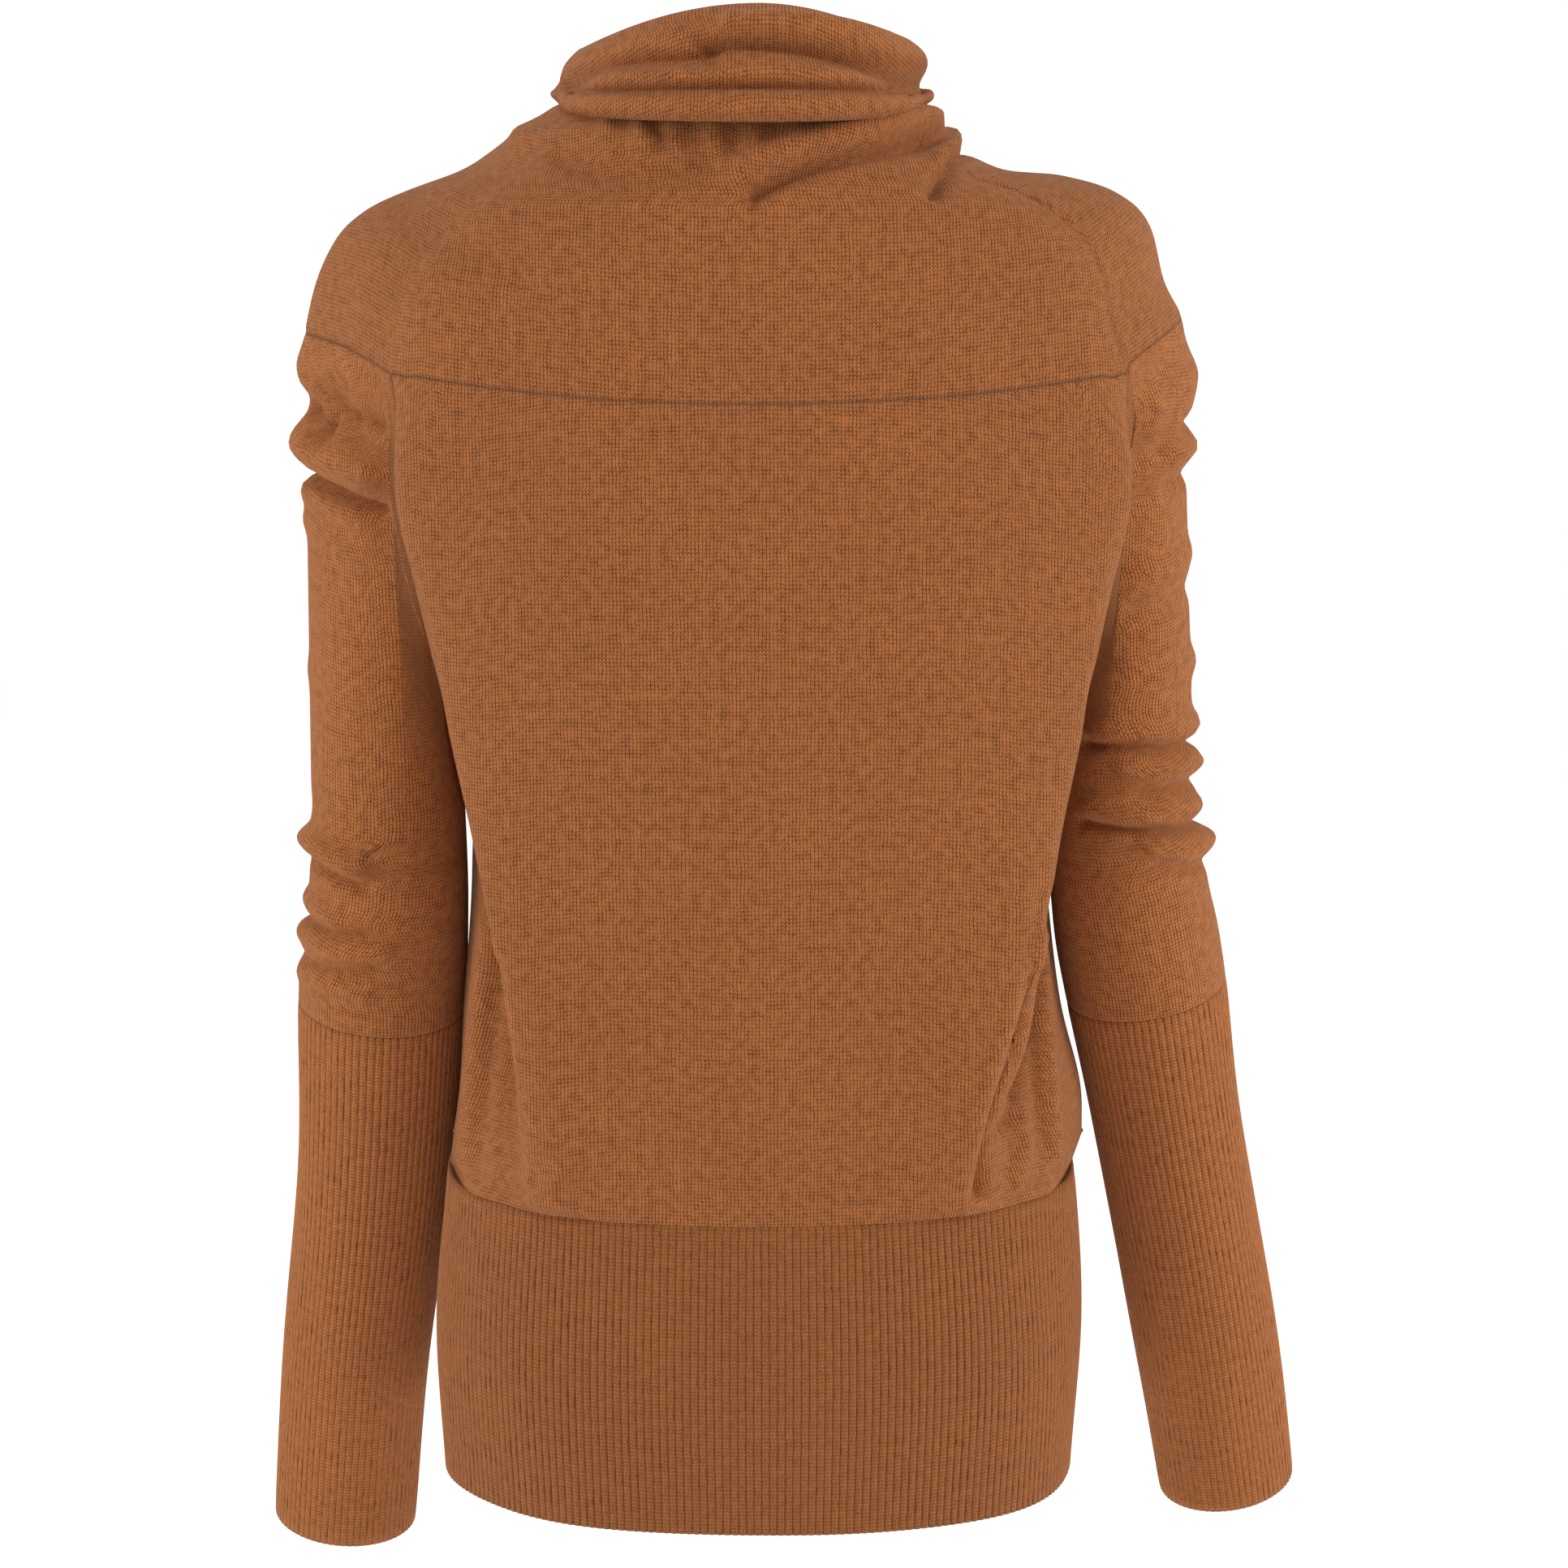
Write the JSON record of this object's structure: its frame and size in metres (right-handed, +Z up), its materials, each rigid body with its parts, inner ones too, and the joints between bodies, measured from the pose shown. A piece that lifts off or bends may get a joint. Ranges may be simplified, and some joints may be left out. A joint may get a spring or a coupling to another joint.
{
  "type": "funnel-neck sweater",
  "caption": "Slouchy fine-knit sweater with a folded funnel collar, round yoke, long bunched sleeves, deep ribbed cuffs and a deep ribbed hem, worn with no wearer.",
  "frame": {"origin": "between the wearer's shoulders, level with the foot of the neck", "axes": "+Z up, -Y the way the wearer faces, +X towards the wearer's left arm"},
  "size_m": [0.5703, 0.2776, 0.8468],
  "materials": {
    "back_panel": "matte brushed knit",
    "collar": "matte brushed knit",
    "cuff_left": "matte brushed knit",
    "cuff_right": "matte brushed knit",
    "front_panel": "matte brushed knit",
    "hem_band": "matte brushed knit",
    "sleeve_left": "matte brushed knit",
    "sleeve_right": "matte brushed knit",
    "yoke": "matte brushed knit"
  },
  "bodies": {
    "root": {"back_panel": "back_panel", "collar": "collar", "cuff_left": "cuff_left", "cuff_right": "cuff_right", "front_panel": "front_panel", "hem_band": "hem_band", "sleeve_left": "sleeve_left", "sleeve_right": "sleeve_right", "yoke": "yoke"}
  },
  "joints": []
}
